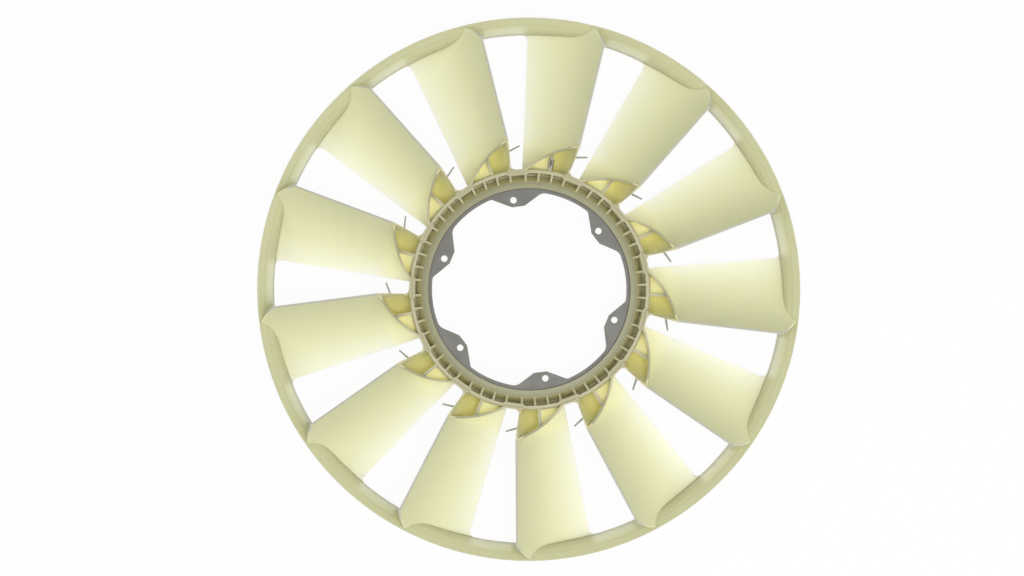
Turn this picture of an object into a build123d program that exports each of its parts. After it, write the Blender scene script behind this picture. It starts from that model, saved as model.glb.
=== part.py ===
from build123d import *
from math import acos, asin, cos, degrees, hypot, radians, sin, sqrt, tan
import os

# Truck radiator fan, in millimetres. The wheel axis is Z and the ribbed front of the hub looks up.
# The origin is the centre of the bolt circle, on the front face of the steel mounting plate.

# Ring with its flared mouth
rim_d = 750.0            # over the flared rim, the largest size of the fan
flare_out = 19.5         # how far the rim stands out past the bore of the ring
flare_deg = 70.0         # how far the mouth is turned outwards
flare_steps = 4          # narrow bands that its curve is made of
ring_wall = 3.5
rim_z = 6.0              # front of the rim above the plate
ring_back_z = -46.0      # the ring's plain back edge, on which the fan lies

# Hub: an outer wall, a trough with ribs across it, and a lip that holds the plate
hub_d = 331.0            # over the outer wall
hub_wall = 5.2
skirt_wall = 4.5
hub_top_z = 22.0
hub_back_z = -25.0
hub_bevel = 1.5
lip_h = 3.2              # plastic over the plate at its inner edge
floor_h = 2.0            # plastic over the plate where it slopes down into the trough
trough_z = -12.0         # bottom of the trough
under_h = 3.0            # plastic behind the plate and the trough

# Shares of the way from the plate's bore out to the hub's outer wall
lip_share = 0.17         # inner edge of the plastic that holds the plate
plate_share = 0.4        # outer edge of the plate, inside the plastic
floor_share = 0.47       # top of the trough's sloping side
trough_share = 0.73      # foot of that side

# Hub ribs: four for each blade, three equal steps and one wider step behind the gap
blade_count = 13
rib_t = 3.0
rib_foot = 0.5           # the sloping ribs rise from the trough's side, this far out from its top
rib_drop = 0.8           # ribs end this far below the top of the wall
rib_step_deg = 6.62
rib_first_deg = -0.75    # first rib, from the tip line of its blade
pad_t = 2.6              # extra thickness of the wall behind each gap between blades
pad_overlap_deg = 0.5
pad_taper_deg = 2.2
back_rib_in = 6.0        # ribs behind the hub start this far inside the trough's slope
back_rib_z = -22.0

# Blades, each described in its own frame: X runs outwards along its tip line, Y towards its far edge.
# The front of a blade is part of a cone, and its near and far edges are two lines of that cone.
blade_start_deg = 72.95
near_root_y = -7.9       # near edge: the high, steep one
near_tip_y = 3.0
near_root_z = 26.0
near_tip_z = 35.0
near_corner_y = -4.6     # the near edge is cut back to here at the hub
far_root_y = 60.0        # far edge: the low, flat one
far_tip_y = 108.2
far_tip_z = -38.0
camber_deg = 64.0        # turn of the blade's section from edge to edge
blade_root_t = 3.6
blade_tip_t = 2.8
tip_step = 23.7          # the near edge ends this far inside the rim, and a slanting edge runs on to it
tip_foot_deg = 66.0      # where that edge ends, just inside the rim

# Pocket walls at the root of each blade, and the fin behind the near edge
pocket_wall = 3.0
pocket_top_z = 25.5
pocket_r = 126.0         # arc of the curved wall, to its middle
pocket_out = 42.0        # the curved wall reaches the near edge this far out from the hub
pocket_start_deg = 2.9   # it leaves the hub this far before the blade's far corner
pocket_rib_deg = 7.6
pocket_rib_t = 4.2
pocket_rib_top_z = 21.0
notch_round = 8.0        # rounds the inner corners of each gap, at the hub
notch_web = 20.0         # length of the web that rounds the corner below the near edge
fin_t = 2.0
fin_out = 16.0           # length that shows ahead of the near edge
fin_back = 24.0          # length that runs under the blade
fin_root = 26.3          # it crosses the near edge this far out from the hub
fin_lean_deg = 16.6
fin_top_z = 23.0
fin_tip_h = 3.0
fin_depth = 40.0

# Steel mounting plate
plate_t = 4.0
bolt_circle_d = 250.0
bore_step = 9.5          # the bore of the plate is this far outside the bolt circle
lug_step = 9.2           # the tips of the lugs are this far inside it
bolt_hole_d = 9.0
bolt_count = 6
bolt_start_deg = 40.16
lug_foot_deg = (12.8, -17.6)    # where the two flanks of a lug reach the bore, from its hole
lug_tip_deg = (1.8, -7.0)       # ends of its straight tip
lug_foot_round = (6.0, 14.0)
lug_tip_round = 1.5

# Balance clip, folded from sheet and pushed over the cross rib of the first blade
clip_sheet = 0.9
clip_length = 14.0
clip_depth = 9.0
clip_lip = 1.6           # the ends of its legs are turned out
clip_bend = 0.4          # inside radius of its bends
clip_share = 0.42        # place of its middle on the cross rib, from the hub to the curved wall

# Worked out from the sizes above
rim_r = rim_d / 2
throat_r = rim_r - flare_out
hub_r = hub_d / 2
hub_inner = hub_r - hub_wall
wall_mid_r = hub_r - hub_wall / 2
root_r = hub_r - skirt_wall / 2
skirt_inner = hub_r - skirt_wall
bore_r = bolt_circle_d / 2 + bore_step
lug_tip_r = bolt_circle_d / 2 - lug_step
lip_r, plate_r, floor_r, trough_r = [bore_r + share * (hub_r - bore_r) for share in
                                     (lip_share, plate_share, floor_share, trough_share)]
rib_foot_r = floor_r + rib_foot
back_rib_r = floor_r - back_rib_in
pad_r = hub_inner - pad_t
web_back_z = -plate_t - under_h
web_mid_z = -plate_t - under_h / 2
trough_back_z = trough_z - under_h
trough_mid_z = trough_z - under_h / 2
rib_top_z = hub_top_z - rib_drop
pocket_reach = hub_r + pocket_out
fin_start_x = hub_r + fin_root
tip_r = rim_r - tip_step
pitch_deg = 360 / blade_count
flare_cos = cos(radians(flare_deg))
flare_r = (flare_out - ring_wall * flare_cos) / (1 - flare_cos)
flare_z = rim_z - flare_r * sin(radians(flare_deg))
low_z = ring_back_z - 20
high_z = near_tip_z + 20

# The cone of a blade: its apex, where the lines of both edges meet, and its axis
blade_length = tip_r - hub_r
near_slope = (near_tip_y - near_root_y) / blade_length
far_slope = (far_tip_y - far_root_y) / blade_length
apex_step = (far_root_y - near_root_y) / (far_slope - near_slope)
apex = Vector(hub_r - apex_step, near_root_y - near_slope * apex_step,
              near_root_z - (near_tip_z - near_root_z) / blade_length * apex_step)
near_ray = (Vector(tip_r, near_tip_y, near_tip_z) - apex).normalized()
far_ray = (Vector(tip_r, far_tip_y, far_tip_z) - apex).normalized()
half_spread = radians(near_ray.get_angle(far_ray)) / 2
cone_half = asin(sin(half_spread) / sin(radians(camber_deg / 2)))
lift = acos(cos(cone_half) / cos(half_spread))
cone_dir = (near_ray + far_ray).normalized() * cos(lift) + near_ray.cross(far_ray).normalized() * sin(lift)
cone_axis = Axis(apex, cone_dir)
near_out = (near_ray - cone_dir * near_ray.dot(cone_dir)).normalized()
cone_plane = Plane(origin=apex, x_dir=cone_dir, z_dir=cone_dir.cross(near_out))
root_run = (hub_r - 12 - apex.X) * cos(cone_half)
tip_run = (rim_r + 8 - apex.X) * cos(cone_half)
kink_y = near_root_y + near_slope * (pocket_reach - hub_r) + near_out.Y * blade_root_t


def polar(radius, angle_deg):
    return (radius * cos(radians(angle_deg)), radius * sin(radians(angle_deg)))


def flare_point(depth, turn_deg):
    """Point of the ring wall as (r, z), depth below its air side and turned round the mouth."""
    across, up = polar(flare_r - depth, turn_deg)
    return (throat_r + flare_r - across, flare_z + up)


def cone_point(run, depth):
    """Point of the cone's section, run along its axis and depth behind the front of the blade."""
    return (run, run * tan(cone_half) + depth / cos(cone_half))


# One blade: a shell of the cone, trimmed to the hub, the ring and the slanting tip
with BuildPart() as blade:
    with BuildSketch(cone_plane):
        with BuildLine():
            Polyline(cone_point(root_run, 0), cone_point(tip_run, 0), cone_point(tip_run, blade_tip_t),
                     cone_point(root_run, blade_root_t), close=True)
        make_face()
    revolve(axis=cone_axis, revolution_arc=camber_deg)
    with BuildSketch(Plane.XZ):
        tip_foot = flare_point(0, tip_foot_deg)
        lean = (tip_foot[0] - tip_r) / (near_tip_z - tip_foot[1])
        with BuildLine():
            Polyline(flare_point(ring_wall / 2, 0), (throat_r + ring_wall / 2, low_z),
                     (root_r, low_z), (root_r, high_z), (tip_r - (high_z - near_tip_z) * lean, high_z),
                     tip_foot,
                     flare_point(ring_wall / 2, tip_foot_deg))
            ThreePointArc(flare_point(ring_wall / 2, tip_foot_deg),
                          flare_point(ring_wall / 2, tip_foot_deg / 2), flare_point(ring_wall / 2, 0))
        make_face()
    revolve(axis=Axis.Z, mode=Mode.INTERSECT)
    with BuildSketch(Plane.XY.offset(low_z)):
        corner_slope = (kink_y - near_corner_y) / (pocket_reach - hub_r)
        with BuildLine():
            Polyline((pocket_reach, kink_y), (0, near_corner_y - corner_slope * hub_r), (0, -hub_r),
                     (pocket_reach, -hub_r), close=True)
        make_face()
    extrude(amount=high_z - low_z, mode=Mode.SUBTRACT)

# The space in front of a blade, which its pocket walls fill and its fin stays out of
with BuildPart() as front_space:
    with BuildSketch(cone_plane):
        with BuildLine():
            Polyline((root_run, 0), (tip_run, 0), cone_point(tip_run, blade_tip_t / 2),
                     cone_point(root_run, blade_root_t / 2), close=True)
        make_face()
    revolve(axis=cone_axis, revolution_arc=camber_deg * 1.5)

# Centre of the curved pocket wall, whose arc runs from the far root corner out to the near edge
pocket_start = polar(hub_r, degrees(asin(far_root_y / hub_r)) - pocket_start_deg)
pocket_span = hypot(pocket_reach - pocket_start[0], kink_y - pocket_start[1])
pocket_rise = sqrt(pocket_r ** 2 - (pocket_span / 2) ** 2) / pocket_span
pocket_centre = ((pocket_start[0] + pocket_reach) / 2 + (kink_y - pocket_start[1]) * pocket_rise,
                 (pocket_start[1] + kink_y) / 2 - (pocket_reach - pocket_start[0]) * pocket_rise)

# Pocket walls: a curved wall that leaves the hub in a rounded corner, and a cross rib inside it
with BuildPart() as pocket_walls:
    with BuildSketch(Plane.XY.offset(low_z)) as root_outline:
        with Locations(pocket_centre):
            Circle(pocket_r + pocket_wall / 2)
        Circle(hub_r)
        fillet(root_outline.vertices().sort_by(Axis.Y)[-1], radius=notch_round)
        with Locations(pocket_centre):
            Circle(pocket_r - pocket_wall / 2, mode=Mode.SUBTRACT)
        Circle(wall_mid_r, mode=Mode.SUBTRACT)
    extrude(amount=pocket_top_z - low_z)
    with BuildSketch(Plane.XY.offset(low_z)):
        with Locations(polar((wall_mid_r + pocket_reach) / 2, pocket_rib_deg)):
            Rectangle(pocket_reach - wall_mid_r, pocket_rib_t, rotation=pocket_rib_deg)
        with Locations(pocket_centre):
            Circle(pocket_r, mode=Mode.INTERSECT)
    extrude(amount=pocket_rib_top_z - low_z)
    add(front_space.part, mode=Mode.INTERSECT)

# The web that rounds the corner between the hub and the back of the near edge, along the blade's slope
down_slope = Vector(0, -near_out.Z, near_out.Y).normalized()
with BuildPart() as corner_web:
    with BuildSketch(Plane(origin=(hub_r, near_corner_y, hub_top_z), x_dir=(1, 0, 0), z_dir=down_slope)):
        with Locations((notch_round, notch_round)):
            Rectangle(notch_round + hub_wall / 2, notch_round + blade_root_t / 2, align=Align.MAX)
            Circle(notch_round, mode=Mode.SUBTRACT)
    extrude(amount=notch_web)

# The fin: a thin upright thorn from under the blade to a point ahead of its near edge
fin_start_y = near_corner_y + (fin_start_x - hub_r) * corner_slope
fin_out_x, fin_out_y = sin(radians(fin_lean_deg)), -cos(radians(fin_lean_deg))
with BuildPart() as fin:
    with BuildSketch(Plane(origin=(fin_start_x, fin_start_y, fin_top_z), x_dir=(fin_out_x, fin_out_y, 0),
                           z_dir=(-fin_out_y, fin_out_x, 0))):
        with BuildLine():
            Polyline((-fin_back, 0), (fin_out, 0), (fin_out, fin_tip_h), (-fin_back, fin_depth), close=True)
        make_face()
    extrude(amount=fin_t / 2, both=True)
    add(front_space.part, mode=Mode.SUBTRACT)

# Hub ribs, in front of the plate and behind it, and the pad that thickens the wall behind a gap
with BuildPart() as rib:
    with BuildSketch(Plane.XZ):
        with BuildLine():
            Polyline((rib_foot_r, 0), (hub_inner, rib_top_z), (wall_mid_r, rib_top_z),
                     (wall_mid_r, trough_mid_z), (trough_r, trough_mid_z), (rib_foot_r, -floor_h),
                     close=True)
        make_face()
    extrude(amount=rib_t / 2, both=True)

with BuildPart() as back_rib:
    with BuildSketch(Plane.XZ):
        with BuildLine():
            Polyline((back_rib_r, web_mid_z), (back_rib_r, web_back_z), (skirt_inner, back_rib_z),
                     (wall_mid_r, back_rib_z), (wall_mid_r, trough_mid_z), (trough_r, trough_mid_z),
                     (floor_r, web_mid_z), close=True)
        make_face()
    extrude(amount=rib_t / 2, both=True)

wide_step_deg = pitch_deg - 3 * rib_step_deg
pad_deg = rib_first_deg - wide_step_deg / 2
pad_half_deg = wide_step_deg / 2 + pad_overlap_deg
with BuildPart() as pad:
    with BuildSketch(Plane.XY.offset(trough_mid_z)):
        with BuildLine():
            pad_left, pad_right = [polar(pad_r, pad_deg + side * pad_half_deg) for side in (1, -1)]
            wall_left, wall_right = [polar(wall_mid_r, pad_deg + side * (pad_half_deg + pad_taper_deg))
                                     for side in (1, -1)]
            ThreePointArc(pad_left, polar(pad_r, pad_deg), pad_right)
            Line(pad_right, wall_right)
            ThreePointArc(wall_right, polar(wall_mid_r, pad_deg), wall_left)
            Line(wall_left, pad_left)
        make_face()
    extrude(amount=hub_top_z - trough_mid_z)

# The moulded wheel: ring and hub, then each blade with its root walls, fin and pad, then the ribs
with BuildPart() as fan_wheel:
    with BuildSketch(Plane.XZ):
        with BuildLine():
            flare_turns = [flare_deg * step / flare_steps for step in range(flare_steps + 1)]
            Polyline(*[flare_point(0, turn) for turn in reversed(flare_turns)],
                     (throat_r, ring_back_z), (throat_r + ring_wall, ring_back_z),
                     *[flare_point(ring_wall, turn) for turn in flare_turns], close=True)
        make_face()
    revolve(axis=Axis.Z)
    with BuildSketch(Plane.XZ):
        with BuildLine():
            Polyline((lip_r, 0), (lip_r, lip_h), (floor_r, floor_h), (trough_r, trough_z),
                     (hub_inner, trough_z), (hub_inner, hub_top_z), (hub_r - hub_bevel, hub_top_z),
                     (hub_r, hub_top_z - hub_bevel), (hub_r, hub_back_z), (skirt_inner, hub_back_z),
                     (skirt_inner, trough_back_z), (trough_r, trough_back_z), (floor_r, web_back_z),
                     (lip_r, web_back_z), (lip_r, -plate_t), (plate_r, -plate_t), (plate_r, 0), close=True)
        make_face()
    revolve(axis=Axis.Z)
    with PolarLocations(0, blade_count, start_angle=blade_start_deg):
        add(blade.part)
        add(pocket_walls.part)
        add(corner_web.part)
        add(fin.part)
        add(pad.part)
    for step in range(4):
        rib_deg = blade_start_deg + rib_first_deg + step * rib_step_deg
        with PolarLocations(0, blade_count, start_angle=rib_deg):
            add(rib.part)
            if step % 2 == 0:
                add(back_rib.part)
fan_wheel.part.label = "fan_wheel"

# The steel mounting plate: a lug for each bolt, and an outer margin held in the hub's plastic
with BuildPart() as steel_insert:
    with BuildSketch(Plane.XY.offset(-plate_t)) as plate_outline:
        Circle(plate_r)
        Circle(bore_r, mode=Mode.SUBTRACT)
        margin_r = (plate_r + bore_r) / 2
        holes_deg = [bolt_start_deg + number * 360 / bolt_count for number in range(bolt_count)]
        for hole_deg in holes_deg:
            with BuildLine():
                Polyline(polar(margin_r, hole_deg + lug_foot_deg[0]),
                         polar(bore_r, hole_deg + lug_foot_deg[0]),
                         polar(lug_tip_r, hole_deg + lug_tip_deg[0]),
                         polar(lug_tip_r, hole_deg + lug_tip_deg[1]),
                         polar(bore_r, hole_deg + lug_foot_deg[1]),
                         polar(margin_r, hole_deg + lug_foot_deg[1]), close=True)
            make_face()
        for hole_deg in holes_deg:
            for foot_deg, tip_deg, foot_round in zip(lug_foot_deg, lug_tip_deg, lug_foot_round):
                foot = Vector(*polar(bore_r, hole_deg + foot_deg), -plate_t)
                fillet(plate_outline.vertices().sort_by_distance(foot)[0], radius=foot_round)
                tip = Vector(*polar(lug_tip_r, hole_deg + tip_deg), -plate_t)
                fillet(plate_outline.vertices().sort_by_distance(tip)[0], radius=lug_tip_round)
        with PolarLocations(bolt_circle_d / 2, bolt_count, start_angle=bolt_start_deg):
            Circle(bolt_hole_d / 2, mode=Mode.SUBTRACT)
    extrude(amount=plate_t)
steel_insert.part.label = "steel_insert"

# The balance clip: a bent strip over the cross rib of the first blade, its legs flat on both sides
rib_way = Vector(*polar(1, pocket_rib_deg))
to_centre = rib_way.dot(Vector(*pocket_centre))
off_centre = abs(rib_way.cross(Vector(*pocket_centre)).Z)
rib_end_r = to_centre + sqrt((pocket_r - pocket_wall / 2) ** 2 - off_centre ** 2)
clip_reach = hub_r + clip_share * (rib_end_r - hub_r)
clip_deg = blade_start_deg + pocket_rib_deg
clip_half = (pocket_rib_t + clip_sheet) / 2
clip_foot_z = pocket_rib_top_z - clip_depth
with BuildPart() as balance_clip:
    with BuildSketch(Plane(origin=(*polar(clip_reach, clip_deg), 0), x_dir=(*polar(1, clip_deg + 90), 0),
                           z_dir=(*polar(1, clip_deg), 0))):
        with BuildLine():
            FilletPolyline((-clip_half - clip_lip, clip_foot_z - clip_lip), (-clip_half, clip_foot_z),
                           (-clip_half, pocket_rib_top_z + clip_bend + clip_sheet / 2),
                           (clip_half, pocket_rib_top_z + clip_bend + clip_sheet / 2),
                           (clip_half, clip_foot_z), (clip_half + clip_lip, clip_foot_z - clip_lip),
                           radius=clip_bend + clip_sheet / 2)
        trace(line_width=clip_sheet)
    extrude(amount=clip_length / 2, both=True)
balance_clip.part.label = "balance_clip"

os.makedirs("parts", exist_ok=True)
export_step(fan_wheel.part, "parts/fan_wheel.step")
export_step(steel_insert.part, "parts/steel_insert.step")
export_step(balance_clip.part, "parts/balance_clip.step")
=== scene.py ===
import math
from types import SimpleNamespace

import bpy
import numpy as np
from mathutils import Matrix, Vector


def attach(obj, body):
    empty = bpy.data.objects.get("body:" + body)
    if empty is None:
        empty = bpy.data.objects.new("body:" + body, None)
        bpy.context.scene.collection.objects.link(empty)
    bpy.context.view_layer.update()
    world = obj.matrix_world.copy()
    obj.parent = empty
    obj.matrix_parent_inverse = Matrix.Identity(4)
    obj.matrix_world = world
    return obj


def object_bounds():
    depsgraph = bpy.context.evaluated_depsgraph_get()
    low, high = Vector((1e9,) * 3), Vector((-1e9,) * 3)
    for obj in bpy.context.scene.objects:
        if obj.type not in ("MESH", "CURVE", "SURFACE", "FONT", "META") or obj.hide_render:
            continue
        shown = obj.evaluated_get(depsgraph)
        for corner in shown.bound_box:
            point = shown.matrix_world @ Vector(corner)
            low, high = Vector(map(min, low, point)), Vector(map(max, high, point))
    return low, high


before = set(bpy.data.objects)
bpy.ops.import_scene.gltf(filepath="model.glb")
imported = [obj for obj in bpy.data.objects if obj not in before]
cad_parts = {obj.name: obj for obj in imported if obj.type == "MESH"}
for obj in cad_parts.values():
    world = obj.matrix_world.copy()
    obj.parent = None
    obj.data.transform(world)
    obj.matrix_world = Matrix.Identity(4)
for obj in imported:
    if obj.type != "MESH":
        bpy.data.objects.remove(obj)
cad_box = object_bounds()

# The wheel is one moulding in natural polyamide: ring, blades, hub, ribs and fins.
# The unfilled resin is a greenish ivory that lets light through. Painted light makes the thin blades
# pale and bright towards their flat far edge, and the thick hub over its steel plate looks grey olive.


def node_tree(name):
    """An empty material tree with a Principled shader wired to its output."""
    material = bpy.data.materials.new(name)
    material.use_nodes = True
    tree = material.node_tree
    tree.nodes.clear()
    shader = tree.nodes.new("ShaderNodeBsdfPrincipled")
    output = tree.nodes.new("ShaderNodeOutputMaterial")
    tree.links.new(shader.outputs["BSDF"], output.inputs["Surface"])
    return material, tree, shader


def add_node(tree, kind, values=(), **settings):
    """A node with its properties set, and its inputs given values or linked to sockets."""
    node = tree.nodes.new(kind)
    for key, value in settings.items():
        setattr(node, key, value)
    for key, value in dict(values).items():
        if isinstance(value, bpy.types.NodeSocket):
            tree.links.new(value, node.inputs[key])
        else:
            node.inputs[key].default_value = value
    return node


def ramp(tree, factor, stops):
    """A colour ramp: stops are (place, linear colour) pairs along the factor's way from 0 to 1."""
    node = add_node(tree, "ShaderNodeValToRGB", {"Fac": factor})
    elements = node.color_ramp.elements
    while len(elements) < len(stops):
        elements.new(0.5)
    for element, (place, colour) in zip(elements, stops):
        element.position = place
        element.color = (*colour, 1)
    return node.outputs["Color"]


def share(tree, value, low, high, interpolation="SMOOTHSTEP"):
    """How far a value has come from low to high, held between 0 and 1, with soft ends."""
    node = add_node(tree, "ShaderNodeMapRange", {"Value": value, "From Min": low, "From Max": high},
                    interpolation_type=interpolation)
    return node.outputs["Result"]


def blend(tree, factor, first, second, kind="MIX"):
    """Two colours mixed by a factor."""
    node = add_node(tree, "ShaderNodeMix", {"Factor": factor}, data_type="RGBA", blend_type=kind)
    for name, colour in (("A", first), ("B", second)):
        if isinstance(colour, bpy.types.NodeSocket):
            tree.links.new(colour, node.inputs[name])
        else:
            node.inputs[name].default_value = (*colour, 1)
    return node.outputs["Result"]


def maths(tree, operation, *values):
    """One sum on numbers or sockets."""
    node = add_node(tree, "ShaderNodeMath", dict(enumerate(values)), operation=operation)
    return node.outputs["Value"]


def product(tree, first, *others):
    """Several shares multiplied, which leaves only where all of them hold."""
    for other in others:
        first = maths(tree, "MULTIPLY", first, other)
    return first


def span(tree, x, y):
    """The length of a flat vector from its two sides."""
    flat = add_node(tree, "ShaderNodeCombineXYZ", {"X": x, "Y": y}).outputs["Vector"]
    return add_node(tree, "ShaderNodeVectorMath", {0: flat}, operation="LENGTH").outputs["Value"]


# Sizes of the moulding in metres. Those with Y or a pair of X and Y are in a blade's own frame, whose
# X runs outwards along the tip line. The mouth's centre is a pair of radius and height.
BLADE_COUNT = 13
PITCH = 2 * math.pi / BLADE_COUNT
TIP_LINE = math.radians(72.95)
TURN_BEFORE = math.radians(7.4)
HUB_R = 0.1655
NEAR_EDGE_Y = -0.0079
NEAR_EDGE_SLOPE = 0.0588
POCKET_CENTRE = (0.0902, -0.0547)
MOUTH_CENTRE = (0.3851, -0.0219)
TIP_SLANT = 0.7287
RIB_FOOT_R = 0.14957
RIB_SLOPE = 1.976
WELD_X = 0.0125


def wheel_places(tree, place):
    """Sockets that say where on the wheel a point lies, so that every blade gets the same colours.

    radius is the distance from the axis, and z the height over the steel plate's face. turn is the
    angle past the tip line of the nearest blade, and it starts TURN_BEFORE ahead of that line. ahead is
    the distance in front of the blade's near edge, reach the distance from the centre of its curved
    pocket wall, and slant the radius plus a share of the height, which is the same all along the tip.
    curl is the distance from the centre of the mouth's curve, or from a line straight down from it.
    above_rib is the height over the hub ribs' sloping tops, and off_weld the distance from the weld.
    """
    x, y, z = add_node(tree, "ShaderNodeSeparateXYZ", {"Vector": place}).outputs
    radius = span(tree, x, y)
    whole = maths(tree, "ADD", maths(tree, "ARCTAN2", y, x), TURN_BEFORE - TIP_LINE)
    turn = maths(tree, "SUBTRACT", maths(tree, "FLOORED_MODULO", whole, PITCH), TURN_BEFORE)
    along = maths(tree, "MULTIPLY", radius, maths(tree, "COSINE", turn))
    aside = maths(tree, "MULTIPLY", radius, maths(tree, "SINE", turn))
    near_edge = maths(tree, "MULTIPLY_ADD", along, NEAR_EDGE_SLOPE,
                      NEAR_EDGE_Y - NEAR_EDGE_SLOPE * HUB_R)
    pocket_x = maths(tree, "SUBTRACT", along, POCKET_CENTRE[0])
    pocket_y = maths(tree, "SUBTRACT", aside, POCKET_CENTRE[1])
    mouth_out = maths(tree, "SUBTRACT", radius, MOUTH_CENTRE[0])
    mouth_up = maths(tree, "MAXIMUM", maths(tree, "SUBTRACT", z, MOUTH_CENTRE[1]), 0.0)
    rib_fall = maths(tree, "MULTIPLY_ADD", radius, -RIB_SLOPE, RIB_SLOPE * RIB_FOOT_R)
    return SimpleNamespace(
        radius=radius, turn=turn, y=y, z=z,
        ahead=maths(tree, "SUBTRACT", near_edge, aside),
        reach=span(tree, pocket_x, pocket_y),
        slant=maths(tree, "MULTIPLY_ADD", z, TIP_SLANT, radius),
        curl=span(tree, mouth_out, mouth_up),
        above_rib=maths(tree, "ADD", z, rib_fall),
        off_weld=maths(tree, "ABSOLUTE", maths(tree, "SUBTRACT", x, WELD_X)))


# Blades: what is past the curved wall is blade, and what is within it is pocket. Each pair below, here
# and in the next groups, says where a colour starts to show and where it shows in full.
BLADE_TURN = (0.0, math.radians(19.0))
# The blade tints are painted shade, greenish at the steep near edge, turning to painted light, pale at
# the thin far edge.
BLADE_PAINTED_LIGHT_TINTS = ((0.0, (0.70, 0.70, 0.45)), (0.3, (0.76, 0.76, 0.49)), (0.6, (0.84, 0.84, 0.57)),
               (0.85, (0.92, 0.92, 0.73)), (1.0, (0.97, 0.97, 0.88)))
ROOT_R = (0.215, 0.190)
ROOT_SHARE = 0.6
# The root tint is painted light, a yellow glow near the hub.
ROOT_PAINTED_LIGHT = (1.0, 0.97, 0.60)
POCKET_TURN = (0.0, math.radians(8.0))
# The pocket tints run from painted shade on the near side to painted light, pale yellow, on the far
# side.
POCKET_PAINTED_LIGHT_TINTS = ((0.69, 0.66, 0.29), (0.93, 0.89, 0.46))
POCKET_R = (0.225, 0.185)
POCKET_REACH = (0.1268, 0.1254)


def blade_colour(tree, at):
    """Painted shade at a blade's steep near edge, painted light at its far one and yellow in its root's
    pockets.
    """
    blade = ramp(tree, share(tree, at.turn, *BLADE_TURN, "LINEAR"), BLADE_PAINTED_LIGHT_TINTS)
    at_root = maths(tree, "MULTIPLY", share(tree, at.radius, *ROOT_R), ROOT_SHARE)
    outside = blend(tree, at_root, blade, ROOT_PAINTED_LIGHT)
    pocket = blend(tree, share(tree, at.turn, *POCKET_TURN), *POCKET_PAINTED_LIGHT_TINTS)
    inside = blend(tree, share(tree, at.radius, *POCKET_R), blade, pocket)
    return blend(tree, share(tree, at.reach, *POCKET_REACH), outside, inside)


# Ring: a gap between two blades starts at the one's far edge and ends at the next one's near edge.
RING_R = (0.354, 0.376)
RING_TINTS = ((0.0, (0.59, 0.58, 0.38)), (0.2, (0.63, 0.63, 0.39)), (1.0, (0.575, 0.575, 0.35)))
GAP_START_TURN = (math.radians(16.6), math.radians(19.0))
GAP_END_TURN = (math.radians(0.2), math.radians(-1.2))
BORE_R = (0.367, 0.356)
BORE_CURL = (0.0272, 0.0288)
BORE_Z = (-0.030, -0.016)
# Painted light on the ring's bore, where a gap between blades lets light in.
BORE_PAINTED_LIGHT = (0.82, 0.82, 0.64)


def ring_colour(tree, at):
    """Ivory over the ring's mouth, with painted light on its bore where a gap between blades lets light
    in.
    """
    ring = ramp(tree, share(tree, at.radius, *RING_R), RING_TINTS)
    in_gap = maths(tree, "MAXIMUM", share(tree, at.turn, *GAP_START_TURN),
                   share(tree, at.turn, *GAP_END_TURN))
    on_bore = product(tree, in_gap, share(tree, at.radius, *BORE_R), share(tree, at.curl, *BORE_CURL),
                      share(tree, at.z, *BORE_Z))
    return blend(tree, on_bore, ring, BORE_PAINTED_LIGHT)


# Hub: a trough with ribs across it, which stop at the pads behind the gaps, and the lip over the steel
HUB_Z = (-0.002, 0.020)
# Painted light: the hub is lighter low down and darker on its tops.
HUB_PAINTED_LIGHT_TINTS = ((0.66, 0.62, 0.37), (0.46, 0.43, 0.26))
TROUGH_Z = (-0.0085, -0.0112)
# Painted shade at the foot of the trough.
TROUGH_PAINTED_SHADE = (0.50, 0.47, 0.27)
RIB_Z = (-0.0030, -0.0008)
RIB_START_R = (0.1494, 0.1502)
RIB_END_R = (0.1612, 0.1602)
PAD_END_R = (0.1578, 0.1570)
PAD_START_TURN = (math.radians(16.6), math.radians(16.2))
PAD_END_TURN = (math.radians(2.0), math.radians(2.4))
# Painted light on the ribs' tops.
RIB_PAINTED_LIGHT = (0.66, 0.63, 0.42)
LIP_END_R = (0.1496, 0.1482)
LIP_R = (0.1435, 0.1490)
# The lip is darker over the steel, its own tone, and painted shade darkens it further towards the
# trough.
LIP_TONE_AND_SHADE_TINTS = ((0.36, 0.35, 0.215), (0.285, 0.272, 0.148))
WELD_WIDTH = (0.0006, 0.0002)
WELD_Y = (0.0, 0.01)
WELD_TINT = (0.26, 0.25, 0.14)


def hub_colour(tree, at):
    """Painted light on ribs and low parts, painted shade in the trough, grey olive over the steel with a
    dark weld line.
    """
    hub = blend(tree, share(tree, at.z, *HUB_Z), *HUB_PAINTED_LIGHT_TINTS)
    hub = blend(tree, share(tree, at.z, *TROUGH_Z), hub, TROUGH_PAINTED_SHADE)
    off_pad = product(tree, share(tree, at.turn, *PAD_END_TURN), share(tree, at.turn, *PAD_START_TURN))
    rib_end = maths(tree, "MAXIMUM", share(tree, at.radius, *PAD_END_R),
                    product(tree, off_pad, share(tree, at.radius, *RIB_END_R)))
    on_rib = product(tree, share(tree, at.above_rib, *RIB_Z), share(tree, at.radius, *RIB_START_R),
                     rib_end)
    hub = blend(tree, on_rib, hub, RIB_PAINTED_LIGHT)
    on_lip = share(tree, at.radius, *LIP_END_R)
    lip = blend(tree, share(tree, at.radius, *LIP_R), *LIP_TONE_AND_SHADE_TINTS)
    hub = blend(tree, on_lip, hub, lip)
    on_weld = product(tree, share(tree, at.off_weld, *WELD_WIDTH), share(tree, at.y, *WELD_Y), on_lip)
    return blend(tree, on_weld, hub, WELD_TINT)


# Edges: painted shade on the blades' sheer-cut ends, on the pocket walls' narrow tops, and on the fins.
SHELL_CURL = (0.0320, 0.0304)
END_AHEAD = (-0.0006, 0.0002)
END_SLANT = (0.3761, 0.3766)
END_CURL = (0.0304, 0.0312)
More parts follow.
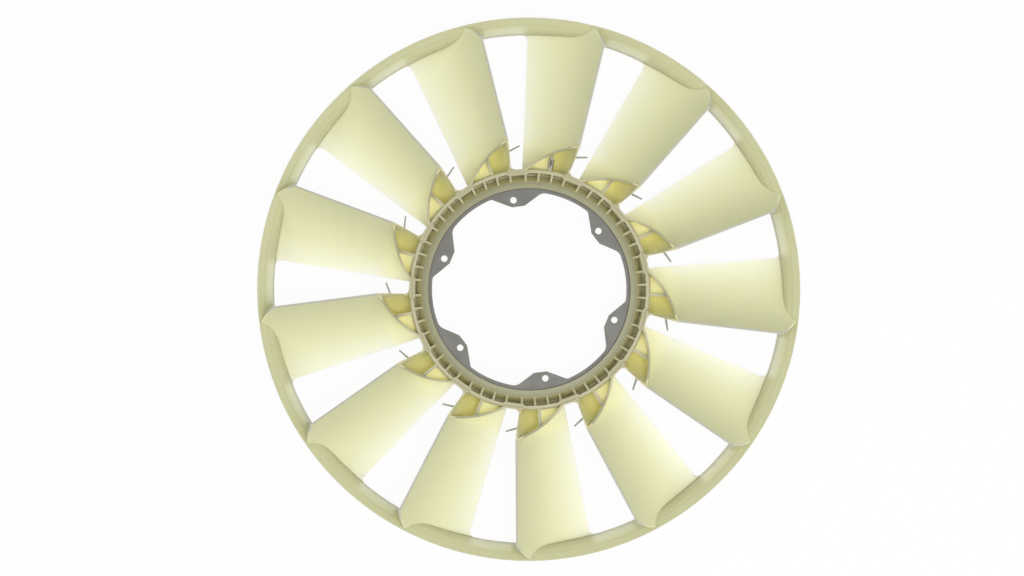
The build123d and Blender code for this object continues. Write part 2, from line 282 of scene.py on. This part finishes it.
# Painted shade on the blades' sheer-cut ends.
END_PAINTED_SHADE = (0.50, 0.50, 0.43)
WALL_END_R = (0.212, 0.205)
WALL_Z = (0.0165, 0.0205)
WALL_R = (0.172, 0.190)
# Painted shade on the pocket walls' narrow tops, turning lighter again towards the near edge.
WALL_PAINTED_SHADE = (0.34, 0.325, 0.18)
WALL_TIP_AHEAD = (-0.010, -0.003)
WALL_TIP_TINT = (0.62, 0.59, 0.35)
FIN_START_R = (0.182, 0.184)
FIN_END_R = (0.2012, 0.2000)
FIN_AHEAD = (0.0010, 0.0020)
# Painted shade on the fins.
FIN_PAINTED_SHADE = (0.27, 0.27, 0.23)
HUB_END_R = (0.1668, 0.1656)


def wheel_colour(tree, at):
    """The colours of blades, ring and hub put together, with the painted shade of edges, walls and fins
    on top.
    """
    hub = hub_colour(tree, at)
    shell = blend(tree, share(tree, at.curl, *SHELL_CURL), blade_colour(tree, at),
                  ring_colour(tree, at))
    at_end = maths(tree, "MAXIMUM", share(tree, at.ahead, *END_AHEAD),
                   share(tree, at.slant, *END_SLANT))
    shell = blend(tree, product(tree, at_end, share(tree, at.curl, *END_CURL)), shell, END_PAINTED_SHADE)
    wall_top = blend(tree, share(tree, at.radius, *WALL_R), hub, WALL_PAINTED_SHADE)
    wall_top = blend(tree, share(tree, at.ahead, *WALL_TIP_AHEAD), wall_top, WALL_TIP_TINT)
    on_wall = product(tree, share(tree, at.radius, *WALL_END_R), share(tree, at.z, *WALL_Z))
    shell = blend(tree, on_wall, shell, wall_top)
    on_fin = product(tree, share(tree, at.radius, *FIN_START_R), share(tree, at.radius, *FIN_END_R),
                     share(tree, at.ahead, *FIN_AHEAD))
    shell = blend(tree, on_fin, shell, FIN_PAINTED_SHADE)
    return blend(tree, share(tree, at.radius, *HUB_END_R), shell, hub)


CLOUD_TINTS = ((0.965, 0.985, 0.95), (1.0, 0.98, 0.97))


def natural_polyamide():
    """Satin plastic that light sinks into, its colour a little clouded and its skin finely grained."""
    material, tree, shader = node_tree("natural_polyamide")
    place = add_node(tree, "ShaderNodeTexCoord").outputs["Object"]
    # The wheel's colour carries painted light and shade, set by place on the wheel.
    colour = wheel_colour(tree, wheel_places(tree, place))
    clouds = add_node(tree, "ShaderNodeTexNoise",
                      {"Vector": place, "Scale": 14.0, "Detail": 3.0, "Roughness": 0.5})
    flow = blend(tree, clouds.outputs["Fac"], *CLOUD_TINTS)
    tree.links.new(blend(tree, 1.0, colour, flow, kind="MULTIPLY"), shader.inputs["Base Color"])
    grain = add_node(tree, "ShaderNodeTexNoise",
                     {"Vector": place, "Scale": 900.0, "Detail": 2.0, "Roughness": 0.6})
    skin = add_node(tree, "ShaderNodeBump",
                    {"Height": grain.outputs["Fac"], "Strength": 0.06, "Distance": 0.0004})
    tree.links.new(skin.outputs["Normal"], shader.inputs["Normal"])
    shader.inputs["Roughness"].default_value = 0.42
    shader.inputs["IOR"].default_value = 1.53
    shader.inputs["Subsurface Weight"].default_value = 0.35
    shader.inputs["Subsurface Radius"].default_value = (1.0, 0.95, 0.55)
    shader.inputs["Subsurface Scale"].default_value = 0.004
    return material


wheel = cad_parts["fan_wheel"]
polyamide = natural_polyamide()
wheel.material_slots[0].material = polyamide

# Inside the root of each blade, between hub, cross rib and curved wall, the moulding has a thin dished
# floor, and with painted light in its colour this cell is the palest of the pockets. It is one with the
# walls around it.
POCKET_INNER_R = 0.1245
CROSS_RIB = math.radians(7.6)
CROSS_RIB_HALF = 0.0019
FLOOR_TOP = 0.0150
FLOOR_FALL = 0.0045
FLOOR_RIM = 0.0012
FLOOR_THICK = 0.0020
FLOOR_INTO_HUB = 0.0004
FLOOR_INTO_WALL = 0.0008
FLOOR_GRID = (13, 19)
SHARP_ANGLE = math.radians(40)


def plate_of_grid(top, thick):
    """Closed plates from a stack of grids: the top surface, a copy of it thick below, and a rim.

    top has the shape (plates, rows, columns, 3). Returns all points and the quads that wrap each plate.
    """
    plates, rows, columns, _ = top.shape
    under = top - np.array((0.0, 0.0, thick))
    points = np.stack([top, under], axis=1).reshape(-1, 3)
    index = np.arange(rows * columns).reshape(rows, columns)
    quads = np.stack([index[:-1, :-1], index[1:, :-1], index[1:, 1:], index[:-1, 1:]], -1)
    quads = quads.reshape(-1, 4)
    rim = np.concatenate([index[:-1, 0], index[-1, :-1], index[:0:-1, -1], index[0, :0:-1]])
    after = np.roll(rim, -1)
    step = rows * columns
    sides = np.stack([rim, rim + step, after + step, after], -1)
    quads = np.concatenate([quads, quads[:, ::-1] + step, sides])
    shift = np.arange(plates)[:, None, None] * 2 * step
    return points, (quads + shift).reshape(-1, 4)


def round_the_wheel(local):
    """Copies of one blade's points for all blades: each turned by its blade's place about Z."""
    turns = TIP_LINE + PITCH * np.arange(BLADE_COUNT)
    cosine, sine = np.cos(turns)[:, None, None], np.sin(turns)[:, None, None]
    x, y, z = local[..., 0], local[..., 1], local[..., 2]
    return np.stack([x * cosine - y * sine, x * sine + y * cosine, z + 0 * cosine], -1)


def moulded(name, points, quads, material):
    """A mesh object of the wheel's material, smooth over its faces and sharp at their rims."""
    mesh = bpy.data.meshes.new(name)
    mesh.from_pydata(points.tolist(), [], quads.tolist())
    mesh.shade_smooth()
    mesh.set_sharp_from_angle(angle=SHARP_ANGLE)
    mesh.materials.append(material)
    piece = bpy.data.objects.new(name, mesh)
    bpy.context.scene.collection.objects.link(piece)
    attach(piece, "root")


def pocket_floor():
    """One cell's floor in its blade's frame, on a grid of out (u) and round (v).

    At each angle it runs from the hub out to the curved wall, whose radius there is the far root of the
    circle's equation. z falls by FLOOR_FALL u from the hub outwards, and rises by FLOOR_RIM times
    (2u - 1)^4 at hub and wall, and by FLOOR_RIM times (1 - v)^6 at the cross rib.
    """
    centre = np.array(POCKET_CENTRE)
    square = centre @ centre
    corner = math.atan2(centre[1], centre[0]) + math.acos(
        (HUB_R ** 2 + square - POCKET_INNER_R ** 2) / (2 * HUB_R * math.sqrt(square)))
    rows, columns = FLOOR_GRID
    u, v = np.meshgrid(np.linspace(0, 1, rows), np.linspace(0, 1, columns), indexing="ij")
    start = CROSS_RIB + CROSS_RIB_HALF / HUB_R
    angle = start + (corner - start) * v
    across = np.cos(angle) * centre[0] + np.sin(angle) * centre[1]
    wall = across + np.sqrt(across ** 2 - square + POCKET_INNER_R ** 2)
    radius = HUB_R - FLOOR_INTO_HUB + (wall + FLOOR_INTO_WALL - HUB_R) * u
    height = FLOOR_TOP - FLOOR_FALL * u + FLOOR_RIM * (2 * u - 1) ** 4 + FLOOR_RIM * (1 - v) ** 6
    return np.stack([radius * np.cos(angle), radius * np.sin(angle), height], -1)


floor_points, floor_quads = plate_of_grid(round_the_wheel(pocket_floor()), FLOOR_THICK)
moulded("pocket_floors", floor_points, floor_quads, polyamide)

# Where the low far edge of each blade meets the ring, the moulding fills the corner with a rounded web.
# It is as thin as the blade, and one with blade and ring.
THROAT_R = 0.3555
FAR_ROOT = np.array((0.1655, 0.0600, -0.0211))
FAR_TIP = np.array((0.3513, 0.1082, -0.0380))
WEB_ROUND = 0.0090
WEB_THICK = 0.0022
WEB_DROP = 0.0003
WEB_INTO_BLADE = 0.0006
WEB_INTO_RING = 0.0008
WEB_MOST_TURN = 1.4
WEB_GRID = (25, 5)


def corner_web():
    """One web in its blade's frame, on a grid of round (u) and in (v).

    Its free edge is an arc of WEB_ROUND, tangent to the far edge and to the ring's bore. The other edge
    follows the far edge and then the bore, just inside both. z is the far edge's own, along its run.
    """
    edge = FAR_TIP[:2] - FAR_ROOT[:2]
    edge_length = np.linalg.norm(edge)
    way = edge / edge_length
    side = np.array((-way[1], way[0]))
    start = FAR_ROOT[:2] + side * WEB_ROUND
    half = start @ way
    reach = -half + math.sqrt(half ** 2 - start @ start + (THROAT_R - WEB_ROUND) ** 2)
    centre = start + way * reach
    out = math.atan2(centre[1], centre[0])
    down = math.atan2(-side[1], -side[0])
    rows, columns = WEB_GRID
    u, v = np.meshgrid(np.linspace(0, 1, rows), np.linspace(0, 1, columns), indexing="ij")
    angle = down + (out - down) * u
    arc = centre + WEB_ROUND * np.stack([np.cos(angle), np.sin(angle)], -1)
    edge_run = np.tan(np.clip(angle - down, 0, WEB_MOST_TURN)) * WEB_ROUND
    on_edge = (centre - side * (WEB_ROUND + WEB_INTO_BLADE)) + way * edge_run[..., None]
    bore = np.stack([np.cos(out), np.sin(out)], -1) * (THROAT_R + WEB_INTO_RING)
    tangent = np.array((-math.sin(out), math.cos(out)))
    bore_run = np.tan(np.clip(out - angle, 0, WEB_MOST_TURN)) * WEB_ROUND
    on_bore = bore - tangent * bore_run[..., None]
    nearer = np.linalg.norm(on_edge - centre, axis=-1) < np.linalg.norm(on_bore - centre, axis=-1)
    back = np.where(nearer[..., None], on_edge, on_bore)
    plan = arc + (back - arc) * v[..., None]
    run = (plan - FAR_ROOT[:2]) @ way / edge_length
    height = FAR_ROOT[2] + (FAR_TIP[2] - FAR_ROOT[2]) * run - WEB_DROP
    return np.concatenate([plan, height[..., None]], -1)


web_points, web_quads = plate_of_grid(round_the_wheel(corner_web()), WEB_THICK)
moulded("corner_webs", web_points, web_quads[:, ::-1], polyamide)

# The mounting plate is hot rolled steel sheet, punched and pickled, held in the hub's moulding.
# Its skin is a dull warm grey with fine rolling lines, and a painted shadow where it goes under the lip.
STEEL_TINTS = ((0.110, 0.107, 0.095), (0.200, 0.194, 0.176))
# Painted shadow on the steel where it goes under the lip.
LIP_SHADOW_R = (0.1380, 0.1394)
LIP_SHADOW_TINTS = ((1.0, 1.0, 1.0), (0.55, 0.54, 0.52))


def pickled_steel():
    """Dull grey rolled steel: cloudy pickling stains, rolling lines, and a painted shadow along the lip.
    """
    material, tree, shader = node_tree("pickled_steel")
    place = add_node(tree, "ShaderNodeTexCoord").outputs["Object"]
    stains = add_node(tree, "ShaderNodeTexNoise", {"Vector": place, "Scale": 45.0, "Detail": 5.0})
    steel = blend(tree, stains.outputs["Fac"], *STEEL_TINTS)
    x, y, _ = add_node(tree, "ShaderNodeSeparateXYZ", {"Vector": place}).outputs
    lip_shadow = blend(tree, share(tree, span(tree, x, y), *LIP_SHADOW_R), *LIP_SHADOW_TINTS)
    tree.links.new(blend(tree, 1.0, steel, lip_shadow, kind="MULTIPLY"), shader.inputs["Base Color"])
    stretched = add_node(tree, "ShaderNodeMapping", {"Vector": place, "Scale": (60.0, 2200.0, 60.0)})
    lines = add_node(tree, "ShaderNodeTexNoise",
                     {"Vector": stretched.outputs["Vector"], "Scale": 1.0, "Detail": 3.0})
    skin = add_node(tree, "ShaderNodeBump",
                    {"Height": lines.outputs["Fac"], "Strength": 0.12, "Distance": 0.0002})
    tree.links.new(skin.outputs["Normal"], shader.inputs["Normal"])
    shader.inputs["Metallic"].default_value = 0.55
    shader.inputs["Roughness"].default_value = 0.5
    return material


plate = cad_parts["steel_insert"]
plate.material_slots[0].material = pickled_steel()

# The balance clip is a folded strip of zinc-plated spring steel, pushed over a cross rib.
# Its fold opens in a narrow slot along the top, drawn as an oval of painted shade.
CLIP_R = 0.1755
CLIP_TURN = TIP_LINE + CROSS_RIB
ZINC_TINTS = ((0.27, 0.25, 0.20), (0.37, 0.34, 0.275))
SLOT_HALF = (0.0046, 0.0009)
SLOT_EDGE = (1.25, 0.8)
# Painted shade for the fold's slot, which has no depth of its own.
SLOT_PAINTED_SHADE = (0.012, 0.009, 0.005)


def zinc_plate():
    """Zinc on spring steel, a little cloudy, with an oval of painted shade for the slot in the fold's
    top.

    The slot is where a point's way from the clip's middle, turned into line with the rib and divided by
    the oval's half sizes, is shorter than about 1.
    """
    material, tree, shader = node_tree("zinc_plate")
    place = add_node(tree, "ShaderNodeTexCoord").outputs["Object"]
    clouds = add_node(tree, "ShaderNodeTexNoise", {"Vector": place, "Scale": 300.0, "Detail": 4.0})
    zinc = blend(tree, clouds.outputs["Fac"], *ZINC_TINTS)
    to_middle = (-CLIP_R * math.cos(CLIP_TURN), -CLIP_R * math.sin(CLIP_TURN), 0.0)
    moved = add_node(tree, "ShaderNodeVectorMath", {0: place, 1: to_middle}, operation="ADD")
    turned = add_node(tree, "ShaderNodeVectorRotate",
                      {"Vector": moved.outputs["Vector"], "Angle": -CLIP_TURN}, rotation_type="Z_AXIS")
    stretch = (1 / SLOT_HALF[0], 1 / SLOT_HALF[1], 0.0)
    scaled = add_node(tree, "ShaderNodeVectorMath", {0: turned.outputs["Vector"], 1: stretch},
                      operation="MULTIPLY")
    reach = add_node(tree, "ShaderNodeVectorMath", {0: scaled.outputs["Vector"]}, operation="LENGTH")
    slot_shaded = blend(tree, share(tree, reach.outputs["Value"], *SLOT_EDGE), zinc, SLOT_PAINTED_SHADE)
    tree.links.new(slot_shaded, shader.inputs["Base Color"])
    shader.inputs["Metallic"].default_value = 0.6
    shader.inputs["Roughness"].default_value = 0.5
    return material


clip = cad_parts["balance_clip"]
clip.material_slots[0].material = zinc_plate()

# The floor is a plain white sheet under the fan. The camera, and what shines or is clear, see it as
# nearly plain white, and everything else sees a matt sheet lit by the lamps. What is left of the lamps'
# light in the camera's view gives a trace of shadow.
FLOOR_SIZE = 12.0
SHADOW_SHARE = 0.06
floor_z = cad_box[0].z


def white_sheet():
    """Matt white for the lamps' light, and plain white where the camera or a shiny piece looks at it."""
    material, tree, shader = node_tree("white_sheet")
    shader.inputs["Base Color"].default_value = (0.92, 0.92, 0.92, 1)
    shader.inputs["Roughness"].default_value = 0.9
    shader.inputs["Specular IOR Level"].default_value = 0.0
    rays = add_node(tree, "ShaderNodeLightPath").outputs
    shiny = maths(tree, "MAXIMUM", rays["Is Camera Ray"], rays["Is Glossy Ray"])
    seen = maths(tree, "MAXIMUM", shiny, rays["Is Transmission Ray"])
    plain = maths(tree, "MULTIPLY", seen, 1 - SHADOW_SHARE)
    glow = add_node(tree, "ShaderNodeEmission", {"Color": (1, 1, 1, 1), "Strength": 1.0})
    both = add_node(tree, "ShaderNodeMixShader", {0: plain, 1: shader.outputs["BSDF"],
                                                  2: glow.outputs["Emission"]})
    output = next(node for node in tree.nodes if node.type == "OUTPUT_MATERIAL")
    tree.links.new(both.outputs["Shader"], output.inputs["Surface"])
    return material


def flat_square(name, side, height):
    """A level square mesh of the given side, centred under the origin."""
    corners = np.array([(-1, -1), (1, -1), (1, 1), (-1, 1)]) * side / 2
    points = np.column_stack([corners, np.full(4, height)])
    mesh = bpy.data.meshes.new(name)
    mesh.from_pydata(points.tolist(), [], [(0, 1, 2, 3)])
    square = bpy.data.objects.new(name, mesh)
    bpy.context.scene.collection.objects.link(square)
    return square


floor = flat_square("floor", FLOOR_SIZE, floor_z)
floor.data.materials.append(white_sheet())

# Studio light: a white room, a large soft box overhead, and a fill from each side.
# The camera sees the room as plain white, and the pieces are lit by less of it.
ROOM_LIGHT = 0.55
world = bpy.data.worlds.new("white_room")
world.use_nodes = True
room = world.node_tree
room.nodes.clear()
room_rays = add_node(room, "ShaderNodeLightPath")
room_light = add_node(room, "ShaderNodeBackground", {"Color": (1, 1, 1, 1), "Strength": ROOM_LIGHT})
room_seen = add_node(room, "ShaderNodeBackground", {"Color": (1, 1, 1, 1), "Strength": 1.0})
room_mix = add_node(room, "ShaderNodeMixShader", {0: room_rays.outputs["Is Camera Ray"],
                                                  1: room_light.outputs["Background"],
                                                  2: room_seen.outputs["Background"]})
room_output = room.nodes.new("ShaderNodeOutputWorld")
room.links.new(room_mix.outputs["Shader"], room_output.inputs["Surface"])
bpy.context.scene.world = world


def soft_box(name, place, size, power):
    """A square area lamp at a place, turned to face the fan."""
    data = bpy.data.lights.new(name, "AREA")
    data.size = size
    data.energy = power
    lamp = bpy.data.objects.new(name, data)
    bpy.context.scene.collection.objects.link(lamp)
    lamp.location = place
    direction = -np.array(place, float)
    lamp.rotation_euler = (math.acos(-direction[2] / np.linalg.norm(direction)), 0.0,
                           math.atan2(direction[1], direction[0]) - math.pi / 2)


soft_box("overhead_box", place=(0.25, -0.35, 2.6), size=1.8, power=34.0)
soft_box("left_box", place=(-2.2, 0.2, 1.6), size=1.4, power=8.0)
soft_box("right_box", place=(2.0, -0.6, 1.8), size=1.4, power=8.0)

# The camera looks almost straight down, from a little to the left of the fan's axis.
# Its place and its lens, in millimetres, are fitted to the photograph.
CAMERA_PLACE = (-0.100, 0.012, 3.206)
CAMERA_AIM = (-0.0242, 0.0019, 0.006)
LENS = 81.63
SENSOR = 36.0
camera_data = bpy.data.cameras.new("photo_camera")
camera_data.lens = LENS
camera_data.sensor_width = SENSOR
camera = bpy.data.objects.new("photo_camera", camera_data)
bpy.context.scene.collection.objects.link(camera)
camera.location = CAMERA_PLACE
look = np.array(CAMERA_AIM) - np.array(CAMERA_PLACE)
tilt = math.asin(look[1] / np.linalg.norm(look))
camera.rotation_euler = (tilt, math.atan2(-look[0], -look[2]), 0.0)
bpy.context.scene.camera = camera
bpy.context.scene.view_settings.view_transform = "Standard"
